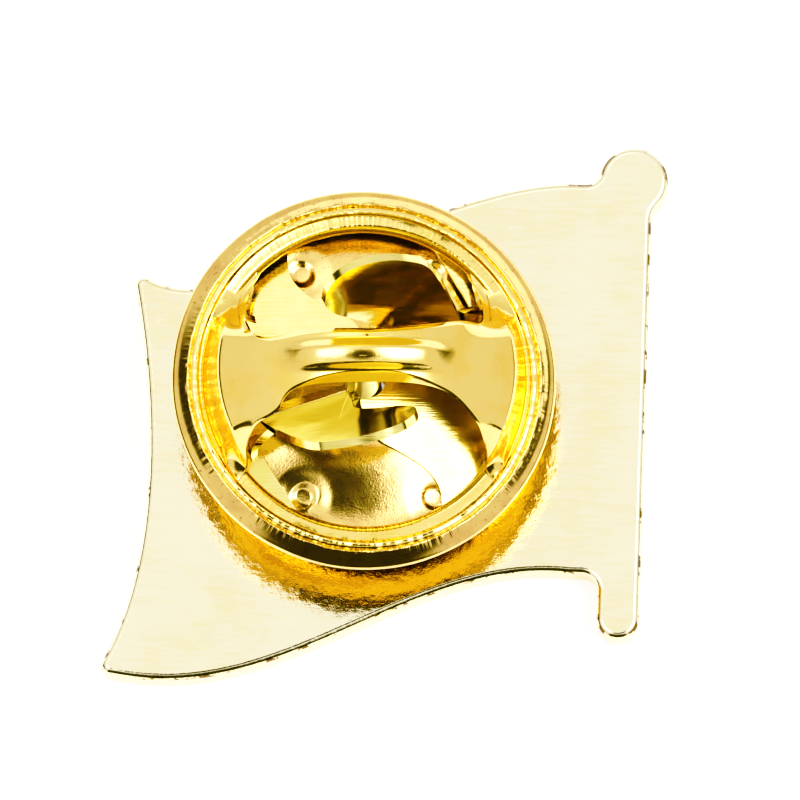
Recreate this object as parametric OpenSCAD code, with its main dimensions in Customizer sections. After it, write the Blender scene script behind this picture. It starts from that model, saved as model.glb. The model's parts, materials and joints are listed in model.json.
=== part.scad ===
// Flag lapel pin with a butterfly clutch pressed home on its post, lying on its face.
// Sizes are in millimetres. The pole runs along Y with its finial at the +Y end, the flag
// flies towards -X, the front face lies on Z = 0 and the post points up.

/* [Flag] */
// Thickness of the struck plate
plate_t = 1.2; // [0.9:0.05:1.6]
// Width of the pole along the hoist
pole_w = 1.3; // [1.1:0.05:1.5]
// Radius of the round finial on top of the pole
finial_r = 1.04; // [0.95:0.01:1.15]
// Width of the raised border round the front field
border_w = 0.75; // [0.5:0.05:1.2]
// Depth of the front field below its border
field_depth = 0.3; // [0.1:0.05:0.5]

/* [Post] */
// Radius of the post
post_r = 0.55; // [0.45:0.01:0.56]
// Height of the post's point above the back of the plate
post_h = 7.2; // [6.6:0.1:7.2]
// Length of the post's tapered point
post_point = 1.1; // [0.6:0.1:1.6]
// Radius of the solder fillet at the foot of the post
solder_r = 1.0; // [0.8:0.05:1.3]

/* [Clutch] */
// Outer radius of the rolled rim
rim_r = 5.8; // [5.7:0.05:6]
// Height of the rim's widest line above the back of the plate
rim_lift = 3.8; // [3.6:0.1:4.2]
// Lean of the clutch towards the pole, in degrees
cant = 4.7; // [0:0.1:5]
// Turn of the clutch about its own axis, in degrees
spin = 2.4; // [-10:0.1:10]
// Thickness of the base, cap and spring sheet
sheet_t = 0.25; // [0.2:0.01:0.26]
// Radius of the post hole in the base
base_hole_r = 0.75; // [0.7:0.01:0.9]
// Radius of the post hole between the spring's two wings
jaw_hole_r = 0.62; // [0.6:0.01:0.7]
// Height of the bridge's crown above the rim's widest line
crown_h = 3.8; // [3.7:0.05:4.2]
// Half width of the bridge at its crown
bridge_half_w = 0.86; // [0.7:0.01:1]
// Half length of the pressed rib on the bridge
rib_half_l = 2.45; // [2:0.05:2.8]
// Width of the pressed rib on the bridge
rib_w = 0.7; // [0.5:0.05:0.9]
// Height of the pressed rib above the bridge
rib_h = 0.34; // [0.2:0.02:0.4]
// Angle between each ear and the flat of the spring, in degrees
ear_fold = 65.8; // [60:0.1:75]

/* [Hidden] */
$fn = 96;
gold = "#e8b923";
pale_gold = "#f0dc9c";
eps = 0.01;
beyond = 12;

// Steps along each curved edge of the flag, and round each small corner
edge_steps = 18;
corner_steps = 6;
ball_steps = 28;

// Points measured from the post's axis
pole_x = 7.84;
pole_foot_y = -7.02;
finial_y = 7.16;
finial_x = pole_x + 0.08;
post_tip_r = 0.06;
neck_blend = 0.7;
top_blend = 0.45;
foot_blend = 0.5;
pole_left = pole_x - pole_w / 2;
pole_right = pole_x + pole_w / 2;

// Bezier handles of the waving edges: two ends with two pulls between them
bottom_bezier = [[-7.08, -8.59], [-2.06, -9.30], [1.51, -4.67], [6.29, -5.04]];
top_bezier = [[6.31, 7.03], [2.23, 7.22], [-4.09, 2.21], [-6.79, 3.745]];
fly_bezier = [[-7.145, 3.485], [-6.43, 0.01], [-6.06, -4.86], [-7.735, -8.09]];
fly_head = [-6.91, 3.535];
fly_head_r = 0.24;
fly_head_turn = [66, 180];
fly_foot = [-7.47, -8.23];
fly_foot_r = 0.3;
fly_foot_turn = [160, 258];

// Where the clutch's pieces lie on its own axis, from the rim's widest line
base_bottom = -0.85;
base_top = base_bottom + sheet_t;
leaf_top = base_top + sheet_t;
flange_top = leaf_top + sheet_t;
bead_inner_r = 5.15;
bead_crown_r = 5.3;
bead_crown_z = 0.5;
bead_turn = 98;
bead_steps = 12;

// The folded ridge of the cap, and the windows either side of the bridge
ridge_in = 4.65;
ridge_out = 5.08;
ridge_top = 0.5;
flange_r = 5.36;
dome_r = 4.8;
dome_foot = 0.1;
window_half_l = 3.6;
waist_half_l = 1.8;
waist_flare = 0.42;
window_steps = 14;

// The spring: its rim, the hinge line of an ear, the cut edges of the wings beside it, and the
// ear's outline in its own plane, from its hinge up
spring_r = 5.1;
hinge_y = 0.29;
hinge_turn = 17.8;
hinge_z = -0.25;
hinge_end = 3.3;
ear_root = 0.28;
jaw_hole_h = 2;
wing_edge = [[0.31, 0.43], [0.05, 1.54], [-0.05, 1.96], [-0.80, 2.33], [-1.40, 2.58],
             [-1.70, 2.83], [-2.00, 3.29], [-2.03, 3.66], [-2.03, 4.30]];
tail_edge = [[1.95, 4.30], [2.15, 3.94], [2.98, 2.61], [3.20, 2.20]];
ear_outline = [[0.40, 0], [0.55, 2.24], [0.27, 2.75], [-0.13, 3.16], [-0.63, 3.70],
               [-0.90, 4.29], [-0.87, 4.65], [-0.72, 5.12], [-0.36, 5.56], [0.10, 5.78],
               [0.75, 5.79], [1.43, 5.56], [2.10, 5.07], [2.44, 4.62], [2.66, 3.96],
               [2.86, 3.12], [3.01, 2.31], [3.13, 1.69], [3.30, 0]];

// Six pips that grip the cloth, pressed down through the base
pip_ring_r = 3.94;
pip_count = 6;
pip_shift = 0.17;
pip_r = 0.42;
pip_tip_r = 0.26;
pip_depth = 0.18;

function bezier(p, steps) = [for (i = [0:steps])
    let (t = i / steps, u = 1 - t)
    u * u * u * p[0] + 3 * u * u * t * p[1] + 3 * u * t * t * p[2] + t * t * t * p[3]];

function arc(centre, r, from, to, steps) = [for (i = [0:steps])
    let (a = from + (to - from) * i / steps)
    centre + r * [cos(a), sin(a)]];

// Moves a path sideways, to the left of its direction
function beside(path, gap) = [for (i = [0:len(path) - 1])
    let (a = path[max(i - 1, 0)], b = path[min(i + 1, len(path) - 1)], d = b - a)
    path[i] + gap * [-d.y, d.x] / norm(d)];

bottom_edge = bezier(bottom_bezier, edge_steps);
top_edge = bezier(top_bezier, edge_steps);
fly_edge = bezier(fly_bezier, edge_steps);

// Centres of the hollow blends where straight edges run into the finial and the pole
finial = [finial_x, finial_y];
neck_x = pole_right + neck_blend - finial_x;
neck = finial + [neck_x, -sqrt(pow(finial_r + neck_blend, 2) - neck_x * neck_x)];
brow_y = top_bezier[0].y + top_blend - finial_y;
brow = finial + [-sqrt(pow(finial_r + top_blend, 2) - brow_y * brow_y), brow_y];
heel = [pole_left - foot_blend, bottom_bezier[3].y - foot_blend];
neck_angle = atan2(neck.y - finial_y, neck.x - finial_x);
brow_angle = atan2(brow.y - finial_y, brow.x - finial_x);
foot = [pole_x, pole_foot_y + pole_w / 2];

flag_outline = concat(
    arc(foot, pole_w / 2, 180, 360, 2 * corner_steps),
    arc(neck, neck_blend, 180, 180 + neck_angle, corner_steps),
    arc(finial, finial_r, neck_angle, brow_angle, ball_steps),
    arc(brow, top_blend, brow_angle - 180, -90, corner_steps),
    top_edge,
    arc(fly_head, fly_head_r, fly_head_turn[0], fly_head_turn[1], corner_steps),
    fly_edge,
    arc(fly_foot, fly_foot_r, fly_foot_turn[0], fly_foot_turn[1], corner_steps),
    bottom_edge,
    arc(heel, foot_blend, 90, 0, corner_steps));

// The origin is under the middle of the outline, and the post stands beside it
post_x = -(finial_x + finial_r + fly_foot.x - fly_foot_r) / 2;
post_y = -(finial_y + finial_r + min([for (p = bottom_edge) p.y])) / 2;

module flag_field() {
    field_right = pole_left - border_w / 2;
    low_edge = beside(bottom_edge, border_w);
    high_edge = beside(top_edge, border_w);
    side_edge = beside(fly_edge, border_w);
    intersection() {
        polygon(concat(low_edge, [[field_right, low_edge[edge_steps].y], [field_right, high_edge[0].y]],
                       high_edge));
        polygon(concat([[beyond, beyond], side_edge[0] + [0, 1]], side_edge,
                       [side_edge[edge_steps] - [0, 1], [beyond, -beyond]]));
    }
}

module post() {
    shank_h = post_h - post_point;
    translate([0, 0, plate_t - eps]) {
        cylinder(r = post_r, h = shank_h + eps);
        cylinder(r1 = solder_r, r2 = post_r, h = solder_r - post_r);
    }
    translate([0, 0, plate_t + shank_h]) cylinder(r1 = post_r, r2 = post_tip_r, h = post_point);
}

module flag() {
    color(pale_gold) translate([post_x, post_y, 0]) {
        difference() {
            linear_extrude(plate_t) polygon(flag_outline);
            translate([0, 0, -eps]) linear_extrude(field_depth + eps) flag_field();
        }
        post();
    }
}

// Carries a piece from the clutch's own axes to its place on the post
module on_post() {
    pivot = plate_t + rim_lift + base_top * cos(cant);
    translate([post_x, post_y, pivot]) rotate([0, cant, 0]) rotate([0, 0, spin])
        translate([0, 0, -base_top]) children();
}

// An open curl of sheet from the flat of the base out, up and in over the cap
module base_section() {
    outer_low = [for (i = [0:bead_steps]) let (a = 90 * (i / bead_steps - 1))
        [bead_inner_r + (rim_r - bead_inner_r) * cos(a), -base_bottom * sin(a)]];
    outer_high = [for (i = [1:bead_steps]) let (a = bead_turn * i / bead_steps)
        [bead_crown_r + (rim_r - bead_crown_r) * cos(a), bead_crown_z * sin(a)]];
    outer = concat(outer_low, outer_high);
    inner = beside(outer, sheet_t);
    last = len(outer) - 1;
    polygon(concat([[base_hole_r, base_bottom]], outer, [for (i = [last:-1:0]) inner[i]],
                   [[base_hole_r, base_top]]));
}

// The pips as cones that hang from one face of the base sheet
module pips(face) {
    for (i = [1:pip_count])
        translate([pip_shift, 0, face - pip_depth]) rotate(i * 360 / pip_count) translate([pip_ring_r, 0, 0])
            cylinder(r1 = pip_tip_r, r2 = pip_r, h = pip_depth + eps);
}

module clutch_base() {
    color(gold) on_post() difference() {
        union() {
            rotate_extrude() base_section();
            pips(base_bottom);
        }
        pips(base_top);
    }
}

// Half width of the bridge at a distance along it from the crown
function bridge_half(x) = bridge_half_w + waist_flare * pow(max(0, abs(x) - waist_half_l), 1.5);

module windows() {
    edge = [for (i = [-window_steps:window_steps])
        let (x = window_half_l * i / window_steps) [x, bridge_half(x)]];
    for (side = [0, 1]) mirror([0, side])
        polygon(concat([[window_half_l, beyond], [-window_half_l, beyond]], edge));
}

// Height of the dome's outer surface over its radius, as one curve and its steep shoulder
dome_crown = bezier([[0, crown_h], [2.3, crown_h], [3.3, 2.75], [4.3, 1.95]], edge_steps);
dome_shoulder = bezier([[4.3, 1.95], [4.6, 1.7], [dome_r, 1.1], [dome_r, dome_foot]], corner_steps);
dome_outer = concat(dome_crown, [for (i = [1:corner_steps]) dome_shoulder[i]]);

module dome(rise, depth) {
    top = beside(dome_outer, rise);
    under = beside(dome_outer, -depth);
    last = len(dome_outer) - 1;
    rotate_extrude() intersection() {
        polygon(concat(top, [for (i = [last:-1:0]) under[i]]));
        square(beyond);
    }
}

module rib_plan(half_w) {
    reach = rib_half_l - rib_w / 2;
    square([2 * reach, 2 * half_w], center = true);
    for (side = [-1, 1]) translate([side * reach, 0]) circle(r = half_w);
}

module cap_ring_section() {
    ridge_half = (ridge_out - ridge_in) / 2;
    translate([ridge_in, leaf_top]) square([ridge_out - ridge_in, ridge_top - ridge_half - leaf_top]);
    translate([ridge_in + ridge_half, ridge_top - ridge_half]) circle(r = ridge_half, $fn = 32);
    translate([ridge_in, leaf_top]) square([flange_r - ridge_in, flange_top - leaf_top]);
}

module clutch_cap() {
    color(gold) on_post() {
        rotate_extrude() cap_ring_section();
        difference() {
            dome(0, sheet_t);
            linear_extrude(beyond) windows();
        }
        intersection() {
            dome(rib_h / 2, sheet_t / 2);
            linear_extrude(beyond) rib_plan(rib_w / 2);
        }
        intersection() {
            dome(rib_h, sheet_t / 2);
            linear_extrude(beyond) rib_plan(rib_w / 4);
        }
    }
}

// One opening of the leaf, between a wing's curved edge, the other wing's tail and the ear's hinge
module leaf_opening() {
    hinge_dir = [cos(hinge_turn), sin(hinge_turn)];
    last = len(wing_edge) - 1;
    intersection() {
        circle(r = ridge_in);
        polygon(concat([for (i = [last:-1:0]) wing_edge[i]],
                       [[0, hinge_y] + hinge_end * hinge_dir],
                       [for (i = [len(tail_edge) - 1:-1:0]) tail_edge[i]],
                       [[1, rim_r], [-1, rim_r]]));
    }
}

module ear() {
    translate([0, hinge_y, hinge_z]) rotate([0, 0, hinge_turn]) rotate([ear_fold, 0, 0])
        translate([0, 0, -sheet_t]) linear_extrude(sheet_t)
            polygon(concat([[hinge_end, -ear_root], [ear_outline[0].x, -ear_root]], ear_outline));
}

module spring_clip() {
    color(pale_gold) on_post() difference() {
        union() {
            translate([0, 0, base_top]) linear_extrude(sheet_t) difference() {
                circle(r = spring_r);
                for (half = [0, 180]) rotate(half) leaf_opening();
            }
            for (half = [0, 180]) rotate(half) ear();
        }
        translate([0, 0, base_bottom]) cylinder(r = jaw_hole_r, h = jaw_hole_h);
    }
}

flag();
clutch_base();
clutch_cap();
spring_clip();
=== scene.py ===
"""Looks of a gold flag lapel pin that lies on its face, with its butterfly clutch up."""

import bisect
import json
import logging
import math
from abc import ABC, abstractmethod
from contextlib import contextmanager
from dataclasses import dataclass, field
from enum import Enum
from typing import Callable, Iterator, Sequence, Union

import bpy
from mathutils import Matrix, Vector, noise


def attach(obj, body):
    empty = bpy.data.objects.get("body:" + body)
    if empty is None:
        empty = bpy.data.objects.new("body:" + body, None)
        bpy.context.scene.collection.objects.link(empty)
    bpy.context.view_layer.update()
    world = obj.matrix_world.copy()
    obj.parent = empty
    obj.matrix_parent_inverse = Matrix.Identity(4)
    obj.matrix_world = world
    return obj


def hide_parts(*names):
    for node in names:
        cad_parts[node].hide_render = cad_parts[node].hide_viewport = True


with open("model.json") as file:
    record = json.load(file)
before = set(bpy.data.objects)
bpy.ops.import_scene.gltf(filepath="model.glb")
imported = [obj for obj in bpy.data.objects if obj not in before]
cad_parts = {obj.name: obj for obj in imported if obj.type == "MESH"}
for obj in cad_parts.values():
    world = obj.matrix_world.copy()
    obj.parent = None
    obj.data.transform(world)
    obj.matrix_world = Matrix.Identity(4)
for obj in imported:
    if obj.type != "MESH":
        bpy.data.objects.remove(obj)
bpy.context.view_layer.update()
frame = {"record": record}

LOG = logging.getLogger("lapel_pin")
MM = 0.001
Piece = bpy.types.Object
Point = tuple[float, float]
Rule = Callable[[Vector], Vector]


class Body(Enum):
    """The two bodies of the frame that a piece can ride on."""

    FLAG = "flag"
    CLUTCH = "clutch"


class Half(Enum):
    """The two like halves of the spring, by their turn about the clutch's axis in degrees."""

    UPPER = 0.0
    LOWER = 180.0


class Cut(Enum):
    """What a cutter does to the piece that it meets."""

    AWAY = "DIFFERENCE"
    COMMON = "INTERSECT"


def smooth_step(low: float, high: float, value: float) -> float:
    """Returns 0 below low, 1 above high and a smooth rise between them."""
    t = min(1.0, max(0.0, (value - low) / (high - low)))
    return t * t * (3.0 - 2.0 * t)


def bezier(handles: Sequence[Point], steps: int) -> list[Point]:
    """Points along a cubic curve.

    Args:
        handles: its two ends with two pulls between them.
        steps: how many stretches it is cut into.

    Returns:
        The points, both ends included.
    """
    points = []
    for i in range(steps + 1):
        t = i / steps
        u = 1.0 - t
        shares = (u * u * u, 3 * u * u * t, 3 * u * t * t, t * t * t)
        points.append(tuple(sum(s * h[k] for s, h in zip(shares, handles)) for k in (0, 1)))
    return points


def joined(*curves: tuple[Sequence[Point], int]) -> list[Point]:
    """Returns the points along cubic curves, each given with its steps. A shared end comes once."""
    points = []
    for handles, steps in curves:
        points += [point for point in bezier(handles, steps) if not points or point != points[-1]]
    return points


def arc(centre: Point, radius: float, start: float, end: float, steps: int,
        stretch: float = 1.0) -> list[Point]:
    """Points along a stretch of a circle or an ellipse.

    Args:
        centre: its centre.
        radius: its half width.
        start: the first angle in degrees.
        end: the last angle in degrees.
        steps: how many stretches it is cut into.
        stretch: its half height as a share of its half width.

    Returns:
        The points, both ends included.
    """
    points = []
    for i in range(steps + 1):
        a = math.radians(start + (end - start) * i / steps)
        points.append((centre[0] + radius * math.cos(a), centre[1] + radius * stretch * math.sin(a)))
    return points


def through(knots: Sequence[Point], steps: int, closed: bool = False) -> list[Point]:
    """Points along a smooth curve that passes through every knot.

    Args:
        knots: the points that it passes through.
        steps: how many stretches lie between two knots.
        closed: whether the last knot runs on into the first.

    Returns:
        The points, with the last knot included only on an open curve.
    """
    count = len(knots)
    points = []
    for i in range(count if closed else count - 1):
        near = (i - 1, i, i + 1, i + 2)
        a, b, c, d = (knots[n % count if closed else min(max(n, 0), count - 1)] for n in near)
        for j in range(steps):
            t = j / steps
            points.append(tuple(
                0.5 * (2 * b[k] + (c[k] - a[k]) * t + (2 * a[k] - 5 * b[k] + 4 * c[k] - d[k]) * t * t
                       + (3 * b[k] - a[k] - 3 * c[k] + d[k]) * t ** 3) for k in (0, 1)))
    return points if closed else points + [tuple(knots[-1])]


def beside(path: Sequence[Point], gap: float) -> list[Point]:
    """Moves an open path sideways.

    Args:
        path: its points.
        gap: how far it moves to the left of its direction.

    Returns:
        The moved points.
    """
    moved = []
    for i, point in enumerate(path):
        a, b = path[max(i - 1, 0)], path[min(i + 1, len(path) - 1)]
        dx, dy = b[0] - a[0], b[1] - a[1]
        length = math.hypot(dx, dy)
        moved.append((point[0] - gap * dy / length, point[1] + gap * dx / length))
    return moved


def waver(around: Vector, *waves: tuple[float, float, float]) -> float:
    """How uneven a rolled edge is at one place.

    Args:
        around: the place, on a circle of 1.
        *waves: the height, the pace and the offset of each wave.

    Returns:
        The sum of the waves.
    """
    return sum(height * noise.noise(around * pace + Vector((0, 0, offset))) for height, pace, offset in waves)


class Bench:
    """A modeller's bench: every tool works on one piece at a time. Lengths are in the piece's own unit."""

    WELD = 2e-4
    FINE_WELD = 1e-5
    DOUBLINGS = 3
    OFF_AXIS = 0.37
    BEVELLED = 50.0
    SMOOTHED = 40.0

    @staticmethod
    def hold(piece: Piece) -> None:
        """Selects one piece alone and makes it active."""
        bpy.ops.object.select_all(action="DESELECT")
        piece.select_set(True)
        bpy.context.view_layer.objects.active = piece

    @staticmethod
    @contextmanager
    def editing(piece: Piece, select: str = "SELECT") -> Iterator[None]:
        """Opens a piece in edit mode, with all or none of it selected, and closes it after."""
        Bench.hold(piece)
        bpy.ops.object.mode_set(mode="EDIT")
        bpy.ops.mesh.select_mode(type="VERT")
        bpy.ops.mesh.select_all(action=select)
        yield
        bpy.ops.object.mode_set(mode="OBJECT")

    @staticmethod
    def fresh(name: str, add: Callable[..., object], **settings: object) -> Piece:
        """Adds a named piece with one of the mesh operators."""
        bpy.ops.object.select_all(action="DESELECT")
        add(**settings)
        piece = bpy.context.object
        piece.name = name
        return piece

    @staticmethod
    def turned(name: str, section: Sequence[Point], steps: int, closed: bool = False) -> Piece:
        """Spins a section round Z.

        Args:
            name: the piece's name.
            section: radius and height of each of its points.
            steps: how many steps the whole turn has, a multiple of 8.
            closed: whether the last point runs on into the first.

        Returns:
            The new piece.
        """
        piece = Bench.fresh(name, bpy.ops.mesh.primitive_plane_add)
        part = math.tau / 2 ** Bench.DOUBLINGS
        path = [*section, section[0]] if closed else list(section)
        with Bench.editing(piece):
            bpy.ops.mesh.merge(type="CENTER")
            bpy.ops.transform.translate(value=(path[0][0], 0.0, path[0][1]))
            for (r0, z0), (r1, z1) in zip(path, path[1:]):
                bpy.ops.mesh.extrude_vertices_move(TRANSFORM_OT_translate={"value": (r1 - r0, 0.0, z1 - z0)})
            bpy.ops.mesh.select_all(action="SELECT")
            few = steps // 2 ** Bench.DOUBLINGS
            bpy.ops.mesh.spin(steps=few, angle=part, center=(0, 0, 0), axis=(0, 0, 1))
            for doubling in range(Bench.DOUBLINGS):
                bpy.ops.mesh.select_all(action="SELECT")
                bpy.ops.mesh.duplicate()
                turn = part * 2 ** doubling
                bpy.ops.transform.rotate(value=turn, orient_axis="Z", center_override=(0, 0, 0))
            bpy.ops.mesh.select_all(action="SELECT")
            bpy.ops.mesh.remove_doubles(threshold=Bench.WELD)
            bpy.ops.mesh.normals_make_consistent(inside=False)
        return piece

    @staticmethod
    def slab(name: str, outline: Sequence[Point], low: float, high: float) -> Piece:
        """Cuts an outline out of a flat sheet.

        Args:
            name: the piece's name.
            outline: the points round it.
            low: the height of its lower face.
            high: the height of its upper face.

        Returns:
            The new piece.
        """
        following = [*outline[1:], outline[0]]
        area = sum(a[0] * b[1] - b[0] * a[1] for a, b in zip(outline, following))
        piece = Bench.fresh(name, bpy.ops.mesh.primitive_circle_add, vertices=len(outline), fill_type="NGON")
        for vertex, (x, y) in zip(piece.data.vertices, outline if area > 0.0 else outline[::-1]):
            vertex.co = (x, y, low)
        with Bench.editing(piece):
            bpy.ops.mesh.extrude_region_move(TRANSFORM_OT_translate={"value": (0, 0, high - low)})
        return piece

    @staticmethod
    def sheet(name: str, columns: int, rows: int, rule: Callable[[float, float], Vector]) -> Piece:
        """Lays a grid over a surface. It shows its face on the side where its columns turn left to its rows.

        Args:
            name: the piece's name.
            columns: how many columns it has.
            rows: how many rows it has.
            rule: gives the place of a point from its two shares, each from 0 to 1.

        Returns:
            The new piece, with what meets merged.
        """
        piece = Bench.fresh(name, bpy.ops.mesh.primitive_grid_add, x_subdivisions=columns,
                            y_subdivisions=rows, size=1.0)
        Bench.reshape(piece, lambda p: rule(p.x + 0.5, p.y + 0.5))
        with Bench.editing(piece):
            bpy.ops.mesh.remove_doubles(threshold=Bench.FINE_WELD)
        return piece

    @staticmethod
    def bisect(piece: Piece, step: float) -> None:
        """Cuts a flat piece along lines a step apart both ways, so that it can be bent."""
        reach = max(max(abs(v.co.x), abs(v.co.y)) for v in piece.data.vertices)
        count = int(reach / step)
        with Bench.editing(piece):
            for way in ((1, 0, 0), (0, 1, 0)):
                for i in range(-count, count + 1):
                    bpy.ops.mesh.select_all(action="SELECT")
                    place = tuple(step * (i + Bench.OFF_AXIS) * w for w in way)
                    bpy.ops.mesh.bisect(plane_co=place, plane_no=way)

    @staticmethod
    def reshape(piece: Piece, rule: Rule) -> None:
        """Moves each point of a piece to where the rule says."""
        for vertex in piece.data.vertices:
            vertex.co = rule(vertex.co.copy())
        piece.data.update()

    @staticmethod
    def round_edges(piece: Piece, chosen: Callable[[Vector, Vector], bool], width: float,
                    segments: int) -> None:
        """Bevels the edges that a test picks by their two ends.

        Args:
            piece: the piece.
            chosen: the test of an edge's two ends.
            width: the bevel's width.
            segments: how many strips it has.
        """
        mesh = piece.data
        wanted = [e.index for e in mesh.edges if chosen(*(mesh.vertices[v].co for v in e.vertices))]
        with Bench.editing(piece, "DESELECT"):
            bpy.ops.mesh.select_mode(type="EDGE")
        for index in wanted:
            mesh.edges[index].select = True
        Bench.hold(piece)
        bpy.ops.object.mode_set(mode="EDIT")
        bpy.ops.mesh.bevel(offset=width, segments=segments, affect="EDGES", clamp_overlap=False)
        bpy.ops.object.mode_set(mode="OBJECT")

    @staticmethod
    def finish(piece: Piece, kind: str, **settings: object) -> None:
        """Adds a modifier with its settings and applies it."""
        Bench.hold(piece)
        modifier = piece.modifiers.new(kind.title(), kind)
        for key, value in settings.items():
            setattr(modifier, key, value)
        bpy.ops.object.modifier_apply(modifier=modifier.name)

    @staticmethod
    def soften(piece: Piece, width: float, segments: int, angle: float) -> None:
        """Bevels the edges that are sharper than an angle in degrees."""
        Bench.finish(piece, "BEVEL", width=width, segments=segments, limit_method="ANGLE",
                     angle_limit=math.radians(angle))

    @staticmethod
    def thicken(piece: Piece, sheet: float, width: float = 0.0, segments: int = 2) -> None:
        """Gives a surface its thickness below it, bevels its edges where a width is given, and smooths it."""
        Bench.finish(piece, "SOLIDIFY", thickness=sheet, offset=-1.0)
        if width:
            Bench.soften(piece, width, segments, Bench.BEVELLED)
        Bench.smooth(piece, Bench.SMOOTHED)

    @staticmethod
    def cut(piece: Piece, cutter: Piece, how: Cut) -> None:
        """Cuts a piece with another, which is used up."""
        Bench.finish(piece, "BOOLEAN", object=cutter, operation=how.value, solver="EXACT")
        bpy.data.objects.remove(cutter)

    @staticmethod
    def join(pieces: Sequence[Piece], name: str) -> Piece:
        """Joins pieces into the first one, under a new name."""
        Bench.hold(pieces[0])
        for piece in pieces[1:]:
            piece.select_set(True)
        bpy.ops.object.join()
        pieces[0].name = name
        return pieces[0]

    @staticmethod
    def smooth(piece: Piece, angle: float) -> None:
        """Shades a piece smooth, apart from edges sharper than an angle in degrees."""
        Bench.hold(piece)
        bpy.ops.object.shade_smooth_by_angle(angle=math.radians(angle))

    @staticmethod
    def place(piece: Piece, matrix: Matrix) -> None:
        """Puts a piece in its place, with its object at the origin."""
        piece.matrix_world = matrix
        Bench.hold(piece)
        bpy.ops.object.transform_apply(location=True, rotation=True, scale=True)


Value = Union["Wire", float, tuple, None]


def operator(operation: str, swapped: bool = False) -> Callable[["Wire", Value], "Wire"]:
    """Makes one of a wire's operators, which adds a Math node.

    Args:
        operation: what the node does.
        swapped: whether the wire is the second of the two values.

    Returns:
        The operator.
    """
    def operate(wire: "Wire", other: Value) -> "Wire":
        """Adds the node on both values."""
        values = (other, wire) if swapped else (wire, other)
        return wire.paint.node("ShaderNodeMath", {"operation": operation}, *values)

    return operate


class Wire:
    """An output of a shader node, to which Python's operators add maths."""

    def __init__(self, paint: "Paint", socket: bpy.types.NodeSocket) -> None:
        """Remembers the socket and the tree that it is in."""
        self.paint = paint
        self.socket = socket

    __add__ = __radd__ = operator("ADD")
    __mul__ = __rmul__ = operator("MULTIPLY")
    __sub__ = operator("SUBTRACT")
    __rsub__ = operator("SUBTRACT", swapped=True)
    __truediv__ = operator("DIVIDE")
    __pow__ = operator("POWER")


@dataclass(frozen=True)
class Grain:
    """A noise pattern. Its patches spread low to high over least to most, and its relief has its depth."""

    scale: float
    detail: float = 2.0
    roughness: float = 0.5
    low: float = 0.0
    high: float = 1.0
    least: float = 0.0
    most: float = 1.0
    depth: float = 0.0


class Paint:
    """The node tree of one material or of the surroundings."""

    def __init__(self, tree: bpy.types.NodeTree) -> None:
        """Starts with an empty tree."""
        self.tree = tree
        tree.nodes.clear()

    def feed(self, socket: bpy.types.NodeSocket, value: Value) -> None:
        """Links or sets one input. A colour needs only its three parts."""
        if isinstance(value, Wire):
            self.tree.links.new(value.socket, socket)
        elif value is not None:
            socket.default_value = (*value, 1.0) if socket.type == "RGBA" else value

    def node(self, kind: str, settings: dict, *values: Value, out: Union[int, str] = 0,
             **named: Value) -> Union[Wire, None]:
        """Adds a node.

        Args:
            kind: its type.
            settings: its own settings, which are set first.
            *values: values or wires of its inputs, in order.
            out: the output that is returned.
            **named: values or wires of inputs by name, with _ for a space.

        Returns:
            The chosen output, or nothing where the node has none.
        """
        made = self.tree.nodes.new(kind)
        for key, value in settings.items():
            setattr(made, key, value)
        for socket, value in zip(made.inputs, values):
            self.feed(socket, value)
        for key, value in named.items():
            self.feed(made.inputs[key.replace("_", " ")], value)
        return Wire(self, made.outputs[out]) if made.outputs else None

    def between(self, value: Wire, low: float, high: float, start: float = 0.0, end: float = 1.0) -> Wire:
        """Maps a range of values smoothly onto another."""
        settings = {"interpolation_type": "SMOOTHSTEP"}
        return self.node("ShaderNodeMapRange", settings, value, low, high, start, end)

    def blend(self, share: Value, first: Value, second: Value) -> Wire:
        """Mixes two colours."""
        made = self.tree.nodes.new("ShaderNodeMix")
        made.data_type = "RGBA"
        self.feed(made.inputs[0], share)
        self.feed(made.inputs[6], first)
        self.feed(made.inputs[7], second)
        return Wire(self, made.outputs[2])

    def split(self, value: Wire) -> tuple[Wire, Wire, Wire]:
        """Returns the three parts of a vector."""
        parts = self.node("ShaderNodeSeparateXYZ", {}, value).socket.node.outputs
        return tuple(Wire(self, part) for part in parts)

    def polar(self, place: Wire) -> tuple[Wire, Wire]:
        """Returns the distance from the axis, and the place carried onto a circle of 1 round it."""
        x, y, _ = self.split(place)
        radius = (x * x + y * y) ** 0.5
        return radius, self.node("ShaderNodeCombineXYZ", {}, x / radius, y / radius, 0.0)

    def stretch(self, place: Wire, scale: tuple, turn: float = 0.0) -> Wire:
        """Scales a pattern's place along its three axes, with a turn about Z in radians."""
        return self.node("ShaderNodeMapping", {}, place, Rotation=(0.0, 0.0, turn), Scale=scale)

    def noise(self, place: Wire, grain: Grain) -> Wire:
        """Noise from 0 to 1 at a place."""
        return self.node("ShaderNodeTexNoise", {}, Vector=place, Scale=grain.scale, Detail=grain.detail,
                         Roughness=grain.roughness)

    def patches(self, place: Wire, grain: Grain) -> Wire:
        """Patches of noise at a place."""
        return self.between(self.noise(place, grain), grain.low, grain.high, grain.least, grain.most)

    def relief(self, place: Wire, grain: Grain) -> Wire:
        """Noise from 0 to its depth at a place."""
        return grain.depth * self.noise(place, grain)


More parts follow.
